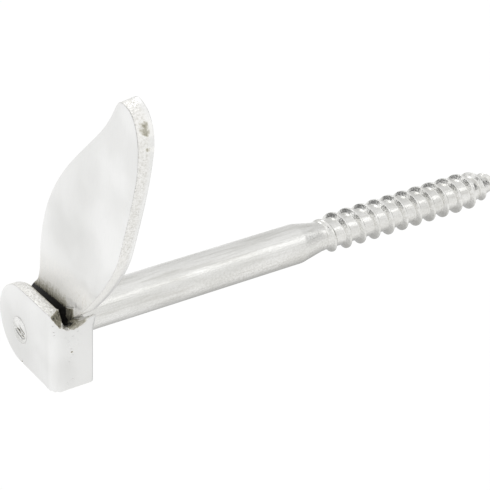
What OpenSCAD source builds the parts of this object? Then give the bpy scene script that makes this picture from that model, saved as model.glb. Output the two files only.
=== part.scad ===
// Shutter holdback with a turning leaf.
// The shank lies along X: its wood thread points to +X, into the wall, and the head faces -X.
// The origin is on the shank's axis, at the shoulder behind the head. +Z is up.
// "Across" is measured from the axis towards the fold, which is on the -Y side.

/* [Shank] */
// Diameter of the plain rod
shank_d = 10; // [9:0.5:12]
// Length of the rod from its shoulder to the tip of the thread
shank_len = 130; // [115:1:200]
// Length of the plain rod behind the shoulder
plain_len = 66; // [30:1:75]
// Length of the cone from the plain rod down to the thread's root
cone_len = 7; // [5:0.5:10]
// Diameter of the tenon that runs through both plates and is riveted over in front
tenon_d = 5; // [4:0.1:5.8]
// Diameter of the peened head, sunk in the front plate
peen_d = 6.2; // [6:0.1:8]
// Depth of the peened head's cone in the front plate
peen_depth = 1.1; // [0.6:0.1:2]
// Height of the peened head's crown in front of the plate
crown_h = 0.35; // [0.2:0.05:0.8]
// Radius of the punch mark in the crown
punch_r = 0.9; // [0.5:0.1:1.4]

/* [Thread] */
// Diameter over the thread's crests
crest_d = 9.8; // [8:0.1:9.9]
// Diameter at the thread's root
root_d = 7.3; // [6:0.1:7.6]
// Advance of the thread in one turn
pitch = 4.5; // [3.6:0.1:6]
// Length over which the first crest grows out of the cone
run_out = 6; // [4:0.5:9]
// Length of the tapered point
point_len = 8.5; // [6:0.5:14]
// Diameter over the crests at the very tip
point_crest_d = 5; // [4:0.1:6]
// Diameter of the root at the very tip
point_root_d = 3.6; // [2.5:0.1:3.9]
// Radius of the rounded nose
nose_r = 3.3; // [3:0.1:3.6]

/* [Folded strap] */
// Thickness of the sheet
sheet_t = 3.5; // [2.5:0.1:4]
// Clear gap between the front plate and the back plate
fold_gap = 3.2; // [2.6:0.1:5]
// Reach of the strap above the axis
strap_up = 11; // [9.5:0.1:11.5]
// Reach of the strap below the axis
strap_down = 8.4; // [7.5:0.1:11]
// Distance from the axis to the outer face of the side wall
wall_reach = 15.5; // [13:0.1:17]
// Distance from the axis to the round end of the front plate
tab_reach = 9.4; // [8:0.1:14]
// Distance from the axis to the round end of the back plate
back_reach = 8.6; // [7.5:0.1:12]
// Outer radius of the front bend
front_bend_r = 2.8; // [1.5:0.1:3.4]
// Outer radius of the back bend
back_bend_r = 1.6; // [0.8:0.1:3]
// Inner radius of both bends
inner_bend_r = 0.6; // [0.3:0.1:1.2]

/* [Relief notch] */
// Height of the notch's floor above the axis
notch_floor = 7.7; // [6.5:0.1:8.5]
// Radius of the notch's front corner
notch_r = 2.2; // [1:0.1:3]
// Rise of the notch's floor towards the back of the head
notch_rise = 1; // [0.5:0.1:2]
// Metal left in front of the notch
notch_skin = 0.6; // [0.3:0.1:1.2]
// Angle around the front bend at which the notch starts
notch_angle = 30; // [20:1:50]

/* [Leaf] */
// Height of the leaf's tip above the axis
leaf_top = 65.3; // [60:0.1:90]
// Distance across from the axis to the tip
tip_across = 27; // [24:0.1:32]
// Greatest distance across, to the edge of the belly
belly_across = 33.8; // [31:0.1:42]
// Height of the belly's widest place above the axis
belly_up = 56.5; // [50:0.1:58]
// Distance from the axis to the leaf's near edge, on the other side of the axis
near_edge = 2.8; // [1:0.1:5]
// Height above the axis at which the leaf starts to lean back
lean_up = 12; // [11.6:0.1:13]
// Angle by which the leaf leans back to the wall
leaf_lean = 4; // [0:0.5:10]

/* [Fits] */
// Running clearance of the tenon in the head, on the radius and at the shoulder
play = 0.08; // [0.05:0.01:0.1]

/* [Hidden] */
steel = "gainsboro";
over = 1;
round_fn = 96;

// Places of the two plates' faces along X
back_x = -play;
plate_x = back_x - sheet_t;
gap_x = plate_x - fold_gap;
front_x = gap_x - sheet_t;

// Strap and fold
strap_h = strap_up + strap_down;
strap_mid = (strap_up - strap_down) / 2;
wall_in = wall_reach - sheet_t;
stub = 2;
leaf_root = [wall_in - 1.4, notch_floor - 1.2];

// Thread: a grid of rows along the helix, one row for each point of the ridge's profile
turn_steps = 32;
cone_end_r = root_d / 2 - 0.1;
cone_end_x = plain_len + cone_len;
full_crest_x = cone_end_x + 5.3;
crest_angle = 54;
crest_half = 0.05;
flank_foot = 0.25;
flank_mid = (crest_half + flank_foot) / 2;
// Each point of the profile: its place in the pitch, and its share of the thread's depth
ridge = [
    [-crest_half, 1],
    [crest_half, 1],
    [flank_mid, 0.45],
    [flank_foot, 0.05],
    [0.42, 0],
    [0.58, 0],
    [1 - flank_foot, 0.05],
    [1 - flank_mid, 0.45]
];
rows_per_turn = len(ridge);
hidden_turns = floor((full_crest_x - plain_len) / pitch) + 1;
first_x = full_crest_x - (crest_angle / 360 + hidden_turns) * pitch;
turns = ceil((shank_len - first_x) / pitch) + 1;
last_row = turns * rows_per_turn;

// ---------- curves ----------

// Point at t on the cubic curve that the four points p give
function bezier(p, t) =
    pow(1 - t, 3) * p[0] + 3 * t * pow(1 - t, 2) * p[1] + 3 * t * t * (1 - t) * p[2] + pow(t, 3) * p[3];

function chain(curves, steps) = [
    for (curve = curves)
        for (i = [0 : steps - 1])
            bezier(curve, i / steps)
];

function share(v) = min(1, max(0, v));
function mix(a, b, s) = a + (b - a) * s;

// ---------- shank ----------

function point_share(x) = share((x - shank_len + point_len) / point_len);
function root_r(x) = mix(root_d, point_root_d, point_share(x)) / 2;
function crest_r(x) = mix(crest_d, point_crest_d, point_share(x)) / 2;
function ridge_share(x) = share((x - full_crest_x + run_out) / run_out);

function thread_point(row, step) =
    let (spot = ridge[row % rows_per_turn])
    let (x = first_x + (floor(row / rows_per_turn) + spot[0] + step / turn_steps) * pitch)
    let (r = root_r(x) + spot[1] * ridge_share(x) * (crest_r(x) - root_r(x)))
    let (a = 360 * step / turn_steps)
    [x, r * cos(a), r * sin(a)];

// A row that has gone once round runs on as the row one turn further along
function grid_id(row, step) =
    step == turn_steps ? grid_id(row + rows_per_turn, 0) :
    row <= last_row ? row * turn_steps + step :
    (last_row + 1) * turn_steps + row - last_row - 1;

function seam(from, to, by) = [for (row = [from : by : to]) grid_id(row, 0)];

function fan(hub, loop) = [
    for (i = [0 : len(loop) - 1])
        [hub, loop[i], loop[(i + 1) % len(loop)]]
];

// Threaded length: root and ridge in one closed surface, whose two ends are cut off or covered
module thread_body() {
    grid = [for (row = [0 : last_row]) for (step = [0 : turn_steps - 1]) thread_point(row, step)];
    tail = [for (row = [last_row + 1 : last_row + rows_per_turn]) thread_point(row, 0)];
    hub = len(grid) + len(tail);
    hubs = [[first_x + pitch / 2, 0, 0], [first_x + (turns + 0.5) * pitch, 0, 0]];
    sides = [
        for (row = [0 : last_row - 1])
            for (step = [0 : turn_steps - 1])
                let (a = grid_id(row, step))
                let (b = grid_id(row + 1, step))
                let (c = grid_id(row + 1, step + 1))
                let (d = grid_id(row, step + 1))
                each [[a, b, c], [a, c, d]]
    ];
    start = [for (step = [0 : turn_steps - 1]) grid_id(0, step)];
    end = [for (step = [turn_steps - 1 : -1 : 1]) grid_id(last_row, step)];
    start_loop = concat(start, seam(rows_per_turn, 1, -1));
    end_loop = concat(seam(last_row, last_row + rows_per_turn, 1), end);
    polyhedron(
        points = concat(grid, tail, hubs),
        faces = concat(sides, fan(hub, start_loop), fan(hub + 1, end_loop)),
        convexity = 10
    );
}

// Keeps the thread up to the rounded nose
module nose_envelope() {
    rotate([0, 90, 0])
        rotate_extrude($fn = round_fn)
            intersection() {
                union() {
                    square([shank_d, shank_len - nose_r]);
                    translate([0, shank_len - nose_r]) circle(r = nose_r);
                }
                square([shank_d, shank_len + over]);
            }
}

// Peened end: a low dome on the tenon, with the mark of the punch in its middle
module peened_end() {
    dome_r = (pow(peen_d / 2, 2) + pow(crown_h, 2)) / (2 * crown_h);
    intersection() {
        translate([0, front_x - crown_h + dome_r]) circle(r = dome_r, $fn = round_fn);
        translate([0, front_x - crown_h]) square([peen_d / 2, crown_h + play / 2]);
    }
    polygon([
        [0, front_x],
        [peen_d / 2, front_x],
        [tenon_d / 2, front_x + peen_depth],
        [0, front_x + peen_depth]
    ]);
}

// Everything turned on the rod: peened end, tenon, shoulder, plain rod and cone
module turned_rod() {
    rotate([0, 90, 0])
        rotate_extrude($fn = round_fn)
            difference() {
                union() {
                    peened_end();
                    translate([0, front_x + peen_depth / 2]) square([tenon_d / 2, over - front_x]);
                    polygon([
                        [0, 0],
                        [shank_d / 2, 0],
                        [shank_d / 2, plain_len],
                        [cone_end_r, cone_end_x],
                        [0, cone_end_x]
                    ]);
                }
                translate([0, front_x - crown_h - punch_r / 2]) circle(r = punch_r, $fn = round_fn);
            }
}

module shank() {
    color(steel) {
        turned_rod();
        intersection() {
            thread_body();
            nose_envelope();
        }
    }
}

// ---------- head ----------

// Section of the fold, seen from above: front plate, side wall and the start of the back plate
module fold_section() {
    reach = strap_h;
    difference() {
        union() {
            translate([front_x + front_bend_r, -wall_reach])
                square([back_x - front_x - front_bend_r - back_bend_r, wall_reach]);
            translate([front_x, front_bend_r - wall_reach]) square([sheet_t, wall_reach + reach]);
            translate([plate_x, back_bend_r - wall_reach]) square([sheet_t, sheet_t + stub - back_bend_r]);
            translate([front_x + front_bend_r, front_bend_r - wall_reach])
                circle(r = front_bend_r, $fn = round_fn);
            translate([back_x - back_bend_r, back_bend_r - wall_reach]) circle(r = back_bend_r, $fn = round_fn);
        }
        fold_slot();
        translate([plate_x, stub - wall_in]) square([sheet_t + over, reach + wall_in]);
    }
}

// Gap between the plates, with its two rounded inner corners
module fold_slot() {
    translate([gap_x + inner_bend_r, -wall_in]) square([fold_gap - 2 * inner_bend_r, wall_reach + strap_h]);
    translate([gap_x, inner_bend_r - wall_in]) square([fold_gap, wall_reach + strap_h]);
    for (x = [gap_x + inner_bend_r, plate_x - inner_bend_r])
        translate([x, inner_bend_r - wall_in]) circle(r = inner_bend_r, $fn = round_fn);
}

// Outline of the strap with its round end, seen from the front
module tab_outline() {
    centre = tab_reach - strap_h / 2;
    translate([centre, strap_mid]) circle(d = strap_h, $fn = round_fn);
    translate([-wall_reach - over, -strap_down]) square([centre + wall_reach + over, strap_h]);
}

// Section of the notch, seen from the side: steep in front, with a floor that rises to the back
module notch_section() {
    round_x = front_x + notch_skin + notch_r;
    top = strap_up + over;
    translate([round_x, notch_floor + notch_r]) circle(r = notch_r, $fn = round_fn);
    translate([round_x - notch_r, notch_floor + notch_r]) square([notch_r, top - notch_floor - notch_r]);
    polygon([
        [round_x, notch_floor],
        [back_x, notch_floor + notch_rise],
        [over, notch_floor + notch_rise],
        [over, top],
        [round_x, top]
    ]);
}

// Notch across the top of the fold. Its front wall is square to the sheet, as it was cut flat
module notch() {
    inside = wall_in - 2 * stub;
    edge = 2 * sheet_t;
    run = [cos(notch_angle), sin(notch_angle)];
    intersection() {
        translate([0, -inside, 0])
            rotate([90, 0, 0]) linear_extrude(wall_reach + over - inside) notch_section();
        linear_extrude(strap_up + over)
            polygon([
                [gap_x + run[0], run[1] - wall_in],
                [gap_x - edge * run[0], -wall_in - edge * run[1]],
                [gap_x - edge, -wall_reach - 2 * over],
                [over, -wall_reach - 2 * over],
                [over, over - inside],
                [gap_x + run[0], over - inside]
            ]);
    }
}

// The notch's deepest part, a wedge in the back bend below the leaf's edge
module leaf_relief() {
    side = wall_reach + over;
    translate([over, 0, 0])
        rotate([90, 0, -90])
            linear_extrude(over - plate_x + inner_bend_r)
                polygon([
                    leaf_root,
                    [side, notch_floor + notch_rise],
                    [side, strap_up + over],
                    [leaf_root[0], strap_up + over]
                ]);
}

// Outline of the back plate and the leaf, in [across, up]
function blade_outline() =
    let (low = -strap_down)
    let (mid_left = [-back_reach, 0.3])
    let (neck = [-near_edge, lean_up + 1.5])
    let (shoulder = [-near_edge - 1.6, 8.7])
    let (flank = [12.4, leaf_top - 17.3])
    let (brow = [tip_across - 2.7, leaf_top - 2])
    let (tip = [tip_across, leaf_top])
    let (belly = [belly_across, belly_up])
    let (waist = [belly_across - 4.5, belly_up - 25])
    let (heel = [wall_reach + 1.1, strap_up + 0.5])
    concat(
        [[wall_in, low]],
        chain([
            [[0.6, low], [-4.4, low], [-back_reach, -4.4], mid_left],
            [mid_left, [-back_reach, 4.2], [-near_edge - 3.8, 6.6], shoulder],
            [shoulder, shoulder + [0.9, 0.8], neck - [0, 2.2], neck],
            [neck, neck + [-0.8, 15], flank - [9.9, 10.5], flank],
            [flank, flank + [4.6, 4.9], brow - [2.5, 6.5], brow],
            [brow, brow + [0.5, 1.3], tip - [1.2, 0], tip],
            [tip, tip + [3.8, -0.2], belly + [0.2, 5], belly],
            [belly, belly - [0.2, 7], waist + [2.2, 9], waist],
            [waist, waist - [1.5, 6.1], heel + [5.9, 6.7], heel],
            [heel, heel - [1.6, 1.5], leaf_root + [1.8, 1.3], leaf_root]
        ], 10),
        [leaf_root, leaf_root + [1, -0.3]]
    );

module blade_plate() {
    translate([back_x, 0, 0])
        rotate([90, 0, -90]) linear_extrude(sheet_t) polygon(blade_outline());
}

module blade() {
    size = 3 * leaf_top;
    intersection() {
        blade_plate();
        translate([-size / 2, -size / 2, lean_up - size]) cube(size);
    }
    translate([plate_x, 0, lean_up])
        rotate([0, leaf_lean, 0])
            translate([-plate_x, 0, -lean_up])
                intersection() {
                    blade_plate();
                    translate([-size / 2, -size / 2, lean_up]) cube(size);
                }
}

// Hole for the tenon through both plates, countersunk in front for the peened end
module bore() {
    rotate([0, 90, 0])
        rotate_extrude($fn = round_fn)
            polygon([
                [0, front_x - over],
                [peen_d / 2 + play, front_x - over],
                [peen_d / 2 + play, front_x],
                [tenon_d / 2 + play, front_x + peen_depth],
                [tenon_d / 2 + play, over],
                [0, over]
            ]);
}

module head() {
    color(steel)
        difference() {
            union() {
                difference() {
                    intersection() {
                        translate([0, 0, -strap_down]) linear_extrude(strap_h) fold_section();
                        translate([front_x - over, 0, 0])
                            rotate([90, 0, 90])
                                linear_extrude(-front_x + 2 * over) tab_outline();
                    }
                    notch();
                    leaf_relief();
                }
                blade();
            }
            bore();
        }
}

shank();
head();
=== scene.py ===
from math import pi, radians, tan

import bmesh
import bpy
import numpy as np
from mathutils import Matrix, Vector
from mathutils.geometry import delaunay_2d_cdt


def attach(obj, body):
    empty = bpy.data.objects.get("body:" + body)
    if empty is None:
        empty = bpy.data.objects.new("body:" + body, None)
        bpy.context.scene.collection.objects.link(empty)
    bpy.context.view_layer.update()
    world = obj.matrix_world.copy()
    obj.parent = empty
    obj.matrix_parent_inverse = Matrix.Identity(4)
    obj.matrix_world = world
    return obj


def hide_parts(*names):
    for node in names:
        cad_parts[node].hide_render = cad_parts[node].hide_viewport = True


# Shutter holdback: a folded zinc-plated strap with a curved leaf, turning on a round wood-screw shank.
# Shapes are worked out in millimetres in the part's own frame and scaled to metres when a mesh is made.
# +X runs along the shank into the wall, -Y is the fold side of the strap, +Z is up the leaf.

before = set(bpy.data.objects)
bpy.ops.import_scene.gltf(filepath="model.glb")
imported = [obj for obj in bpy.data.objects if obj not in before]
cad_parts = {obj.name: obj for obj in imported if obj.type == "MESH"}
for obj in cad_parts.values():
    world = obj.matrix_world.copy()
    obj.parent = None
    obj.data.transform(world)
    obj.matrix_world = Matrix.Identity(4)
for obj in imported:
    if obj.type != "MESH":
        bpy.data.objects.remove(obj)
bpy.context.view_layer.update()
mm = 0.001


# sRGB hex to linear: a low channel is divided by 12.92, the rest goes through the 2.4 power
def linearColour(hexText):
    channels = [int(hexText[i:i + 2], 16) / 255 for i in (1, 3, 5)]
    return [c / 12.92 if c <= 0.04045 else ((c + 0.055) / 1.055) ** 2.4 for c in channels] + [1.0]


# points in millimetres and blocks of face indices become one closed object whose faces point outwards
def meshObject(name, points, faces, material, attributes):
    mesh = bpy.data.meshes.new(name)
    mesh.from_pydata((points * mm).tolist(), [], [face for block in faces for face in block.tolist()])
    for key, values in attributes.items():
        layer = mesh.attributes.new(key, "FLOAT", "POINT")
        layer.data.foreach_set("value", np.ascontiguousarray(values, np.float32))
    form = bmesh.new()
    form.from_mesh(mesh)
    bmesh.ops.remove_doubles(form, verts=form.verts, dist=0.0002 * mm)
    bmesh.ops.dissolve_degenerate(form, edges=form.edges, dist=0.00001 * mm)
    bmesh.ops.recalc_face_normals(form, faces=form.faces)
    openEdges = sum(1 for edge in form.edges if not edge.is_manifold)
    form.to_mesh(mesh)
    form.free()
    mesh.polygons.foreach_set("use_smooth", np.ones(len(mesh.polygons), bool))
    mesh.materials.append(material)
    piece = bpy.data.objects.new(name, mesh)
    bpy.context.scene.collection.objects.link(piece)
    print(f"{name}: {len(mesh.vertices)} points, {len(mesh.polygons)} faces, {openEdges} open edges")
    return piece


# quads between neighbouring rows and columns of a grid whose points are stored row by row
def gridFaces(rows, columns, wrapRows=False, wrapColumns=True, start=0):
    r = np.arange(rows if wrapRows else rows - 1)
    c = np.arange(columns if wrapColumns else columns - 1)
    r, c = np.meshgrid(r, c, indexing="ij")
    nextR, nextC = (r + 1) % rows, (c + 1) % columns
    quads = np.stack([r * columns + c, r * columns + nextC, nextR * columns + nextC, nextR * columns + c], -1)
    return quads.reshape(-1, 4) + start


# 0 up to low, 1 from high on, and 3 t^2 - 2 t^3 between them
def smoothStep(value, low, high):
    t = np.clip((value - low) / (high - low), 0, 1)
    return t * t * (3 - 2 * t)


# 1 along a stretch and 0 beyond it, rising over the first two values and falling over the last two
def stretch(value, riseFrom, riseTo, fallFrom, fallTo):
    return smoothStep(value, riseFrom, riseTo) * (1 - smoothStep(value, fallFrom, fallTo))


# value at a place, straight between the (place, value) pairs of a table
def tableValue(table, place):
    places, values = np.array(table).T
    return np.interp(place, places, values)


# socket that a node gives its result on: the first one in use
def result(made):
    return next(socket for socket in made.outputs if socket.enabled)


# adds a node with its settings and input values, and links the given nodes or sockets into it
def node(tree, kind, settings=None, inputs=None, links=None):
    made = tree.nodes.new("ShaderNode" + kind)
    for key, value in (settings or {}).items():
        setattr(made, key, value)
    for key, value in (inputs or {}).items():
        made.inputs[key].default_value = value
    for key, source in (links or {}).items():
        socket = source if isinstance(source, bpy.types.NodeSocket) else result(source)
        tree.links.new(socket, made.inputs[key])
    return made


# stops of a colour ramp as (position, colour): the two that it starts with become the first and the last
def setStops(ramp, table):
    for stop, (position, colour) in zip(list(ramp.elements), (table[0], table[-1])):
        stop.position, stop.color = position, colour
    for position, colour in table[1:-1]:
        ramp.elements.new(position).color = colour


# input values that map one range to another
def fromTo(source, target=(0, 1)):
    return {"From Min": source[0], "From Max": source[1], "To Min": target[0], "To Max": target[1]}


# node settings that repeat
smooth = {"interpolation_type": "SMOOTHSTEP"}
inColour = {"data_type": "RGBA"}
times = {"operation": "MULTIPLY"}
timesPlus = {"operation": "MULTIPLY_ADD"}
larger = {"operation": "MAXIMUM"}
towards = {"operation": "DOT_PRODUCT"}

# film of painted shade and dirt, read from its attribute: a pale diffuse white, then olive brown, then dark
shadeAndDirtFilm = {
    "film": [(0.15, "#f6f5f2"), (0.33, "#c6c3b7"), (0.55, "#959180"), (0.95, "#1b1914")],
    "cover": (0.02, 0.18),  # dullness at which the film sets in and hides the metal
    "metalLeft": 0.15, "rougher": 0.3,
    "patchFrom": (0.36, 0.64), "patchTo": (0.6, 1.4),  # noise that makes it patchy, and its factor
}


# Zinc plate over stamped or drawn steel: pale silver with a faint warm grey, satin, cloudy, grainy where the
# sheet was sheared, and a rough film, pale to olive brown to dark, where shade and dirt are painted on.
def zincPlatedSteel(name, look):
    material = bpy.data.materials.new(name)
    material.use_nodes = True
    tree = material.node_tree
    shader = tree.nodes["Principled BSDF"]
    place = node(tree, "TexCoord").outputs["Object"]
    noises = []
    for kind, detail, roughness in (("grain", 3.0, 0.6), ("streak", 4.0, 0.6), ("cloud", 2.0, 0.5)):
        pulled = node(tree, "Mapping", {}, {"Scale": look[kind + "Stretch"]}, {"Vector": place})
        widths = {"Scale": 1 / (look[kind] * mm), "Detail": detail, "Roughness": roughness}
        noises.append(node(tree, "TexNoise", {}, widths, {"Vector": pulled}))
    grain, streak, cloud = noises
    cut, gloss, shadeAndDirtFac, patchShade = (node(tree, "Attribute", {"attribute_name": key}).outputs["Fac"]
                               for key in ("cutFace", "glossPlate", "shadeAndDirtPlate", "shadePatchPlate"))
    # the painted shade and dirt is patchy: half streaks, half grain
    blend = node(tree, "Mix", {}, {"Factor": 0.5}, {2: streak, 3: grain})
    patches = fromTo(shadeAndDirtFilm["patchFrom"], shadeAndDirtFilm["patchTo"])
    ragged = node(tree, "MapRange", {}, patches, {"Value": blend})
    dull = node(tree, "Math", {**times, "use_clamp": True}, {}, {0: shadeAndDirtFac, 1: ragged})
    covered = node(tree, "MapRange", smooth, fromTo(shadeAndDirtFilm["cover"]), {"Value": dull})
    # colour: two near greys clouded, streaks, the sheared band with its flecks, then painted shade and dirt
    drift = node(tree, "MapRange", smooth, fromTo((0.36, 0.64), (0, look["cloudShare"])), {"Value": cloud})
    rest = 1 - look["cloudShare"]
    # darker patches pull towards the darker grey, as painted shade on the side wall
    spread = node(tree, "Math", {**timesPlus, "use_clamp": True}, {1: rest}, {0: patchShade, 2: drift})
    greys = {"A": linearColour(look["light"]), "B": linearColour(look["shade"])}
    plate = node(tree, "Mix", inColour, greys, {"Factor": spread})
    lines = node(tree, "MapRange", {}, fromTo((0.5, 0.75), (0, look["streakShare"])), {"Value": streak})
    drawn = {"B": linearColour(look["streakShade"])}
    streaked = node(tree, "Mix", inColour, drawn, {"Factor": lines, "A": plate})
    sheared = node(tree, "Mix", inColour, {"B": linearColour(look["cut"])}, {"Factor": cut, "A": streaked})
    speckle = node(tree, "MapRange", {}, fromTo((0.4, 0.7), (0, look["fleckShare"])), {"Value": grain})
    onCut = node(tree, "Math", times, {}, {0: cut, 1: speckle})
    flecked = node(tree, "Mix", inColour, {"B": linearColour(look["fleck"])}, {"Factor": onCut, "A": sheared})
    film = node(tree, "ValToRGB", {}, {}, {"Fac": dull})
    setStops(film.color_ramp, [(at, linearColour(hexText)) for at, hexText in shadeAndDirtFilm["film"]])
    colour = node(tree, "Mix", inColour, {}, {"Factor": covered, "A": flecked, "B": film})
    tree.links.new(result(colour), shader.inputs["Base Color"])
    metal = node(tree, "MapRange", {}, fromTo((0, 1), (1, shadeAndDirtFilm["metalLeft"])), {"Value": covered})
    tree.links.new(result(metal), shader.inputs["Metallic"])
    # roughness: cloudy satin, brighter on the rolled thread, rougher on the sheared band and on the painted
    # film
    satin = node(tree, "MapRange", {}, fromTo((0, 1), look["rough"]), {"Value": cloud})
    polish = node(tree, "Math", timesPlus, {1: look["glossRough"]}, {0: gloss, 2: satin})
    sawn = node(tree, "Math", timesPlus, {1: look["cutRough"]}, {0: cut, 2: polish})
    rough = node(tree, "Math", timesPlus, {1: shadeAndDirtFilm["rougher"]}, {0: covered, 2: sawn})
    tree.links.new(result(rough), shader.inputs["Roughness"])
    # bump: fine grain everywhere, stronger on the sheared band, and the drawing streaks
    rolled = node(tree, "Math", timesPlus, {1: look["glossGrain"], 2: look["faceGrain"]}, {0: gloss})
    height = node(tree, "Math", timesPlus, {1: look["cutGrain"]}, {0: cut, 2: rolled})
    relief = node(tree, "Math", times, {}, {0: grain, 1: height})
    ridges = node(tree, "Math", timesPlus, {1: look["streakDepth"]}, {0: streak, 2: relief})
    bump = node(tree, "Bump", {}, {"Strength": 1.0, "Distance": 0.1 * mm}, {"Height": ridges})
    tree.links.new(result(bump), shader.inputs["Normal"])
    return material


# Grain, streak and cloud are the widths of those patterns in mm, and each Stretch draws its pattern out along
# an axis. The real grain of a sheared edge is about a fifth as wide and too fine to show.
sheetLook = {
    "light": "#f3f3f2", "shade": "#dcdcda", "cut": "#f4f3f0",
    "fleck": "#b4b1a6", "fleckShare": 0.5, "streakShade": "#d9d9d6", "streakShare": 0.15,
    "rough": (0.26, 0.34), "cutRough": 0.04, "glossRough": 0.0,
    "grain": 0.5, "grainStretch": (1.0, 1.0, 1.0), "faceGrain": 0.12, "cutGrain": 2.4, "glossGrain": 0.0,
    "streak": 0.5, "streakStretch": (1.0, 1.0, 0.2), "streakDepth": 0.05,
    "cloud": 13.0, "cloudStretch": (1.0, 1.0, 1.0), "cloudShare": 0.35,
}
rodLook = {
    "light": "#ececea", "shade": "#dededb", "cut": "#dedcd7",
    "fleck": "#9f9c91", "fleckShare": 0.9, "streakShade": "#c6c5c0", "streakShare": 0.7,
    "rough": (0.17, 0.3), "cutRough": 0.05, "glossRough": -0.18,
    "grain": 0.5, "grainStretch": (0.8, 1.0, 1.0), "faceGrain": 0.3, "cutGrain": 1.1, "glossGrain": 0.1,
    "streak": 0.9, "streakStretch": (0.07, 1.0, 1.0), "streakDepth": 0.7,
    "cloud": 4.0, "cloudStretch": (0.25, 1.0, 1.0), "cloudShare": 0.9,
}
sheetSteel = zincPlatedSteel("zincPlatedStampedSheet", sheetLook)
rodSteel = zincPlatedSteel("zincPlatedDrawnRod", rodLook)
print("materials made")


rod = {
    "rodRadius": 5.0, "plainLength": 66.0, "coneLength": 7.0, "tipX": 130.0, "tenonRadius": 2.5,
    "frontX": -10.28, "peenRadius": 3.15, "peenDepth": 1.1, "crownHeight": 0.35,
    "punchRadius": 0.75, "punchDepth": 0.28,
    "seamWidth": 0.14, "seamDepth": 0.05,  # ring pressed into the crown over the tenon
    "crestRadius": 4.9, "rootRadius": 3.65, "pitch": 4.5, "runOut": 8.0, "fullCrestX": 78.3,
    "crestAngle": 54.0,
    # height of the rolled ridge over its root, 1 on the crest, by distance along X from the crest's middle
    "ridge": [(0, 1), (0.17, 1), (0.23, 0.975), (0.30, 0.88), (0.90, 0.07), (0.98, 0.02), (1.1, 0), (2.4, 0)],
    "ridgeCorners": (-0.94, -0.23, 0.23, 0.94),  # where its foot and its crest turn
    "pointLength": 8.5, "pointCrestRadius": 2.5, "pointRootRadius": 1.8, "noseRadius": 3.3, "noseRun": 1.2,
    "threadStep": 0.076, "aroundSteps": 96, "crispness": 12,
    # painted shade on the tenon inside the fold and in the tool strokes
    "tenonShade": 0.9, "strokeShade": 0.9,
    # pitting of the drawn skin: everywhere, more underneath, more still towards the cone, and on the thread
    "pitting": 0.1, "pittingUnder": 0.06, "pittingAtCone": 0.2, "pittingThread": 0.1, "threadKeeps": 0.6,
}
# strokes that the riveting tool left in the peened end: two ends (across, up), width, depth
toolStrokes = [((-1.3, -0.2), (1.6, -1.0), 0.48, 0.6), ((0.2, 1.0), (2.0, 0.2), 0.32, 0.34)]


# distance along X from the nearest crest's middle: the helix moves on by one pitch in a turn
def crestDistance(x, angle):
    turns = (x - rod["fullCrestX"]) / rod["pitch"] - (np.degrees(angle) - rod["crestAngle"]) / 360
    return (turns - np.round(turns)) * rod["pitch"]


# radius of the cone, thread and point at x and angle: the larger of cone and ridge, inside a round nose
def threadRadius(x, angle):
    point = np.clip((x - rod["tipX"] + rod["pointLength"]) / rod["pointLength"], 0, 1)
    root = rod["rootRadius"] + (rod["pointRootRadius"] - rod["rootRadius"]) * point
    crest = rod["crestRadius"] + (rod["pointCrestRadius"] - rod["crestRadius"]) * point
    grown = smoothStep(x, rod["fullCrestX"] - rod["runOut"], rod["fullCrestX"])
    ridge = root + tableValue(rod["ridge"], np.abs(crestDistance(x, angle))) * grown * (crest - root)
    start, end = rod["plainLength"], rod["plainLength"] + rod["coneLength"]
    big, small = rod["rodRadius"], rod["rootRadius"]
    turned = [(start, big), (start + 0.4, big - 0.04), (end - 0.5, small + 0.12), (end + 0.5, small)]
    cone = tableValue(turned + [(end + 2, 0)], x)
    sharp = rod["crispness"]
    body = np.log(np.exp(ridge * sharp) + np.exp(cone * sharp)) / sharp  # smooth maximum
    centre = rod["tipX"] - rod["noseRadius"]
    nose = np.sqrt(np.clip(rod["noseRadius"] ** 2 - np.clip(x - centre, 0, None) ** 2, 0, None))
    return np.where(x < centre, body, np.minimum(body, nose))


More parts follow.
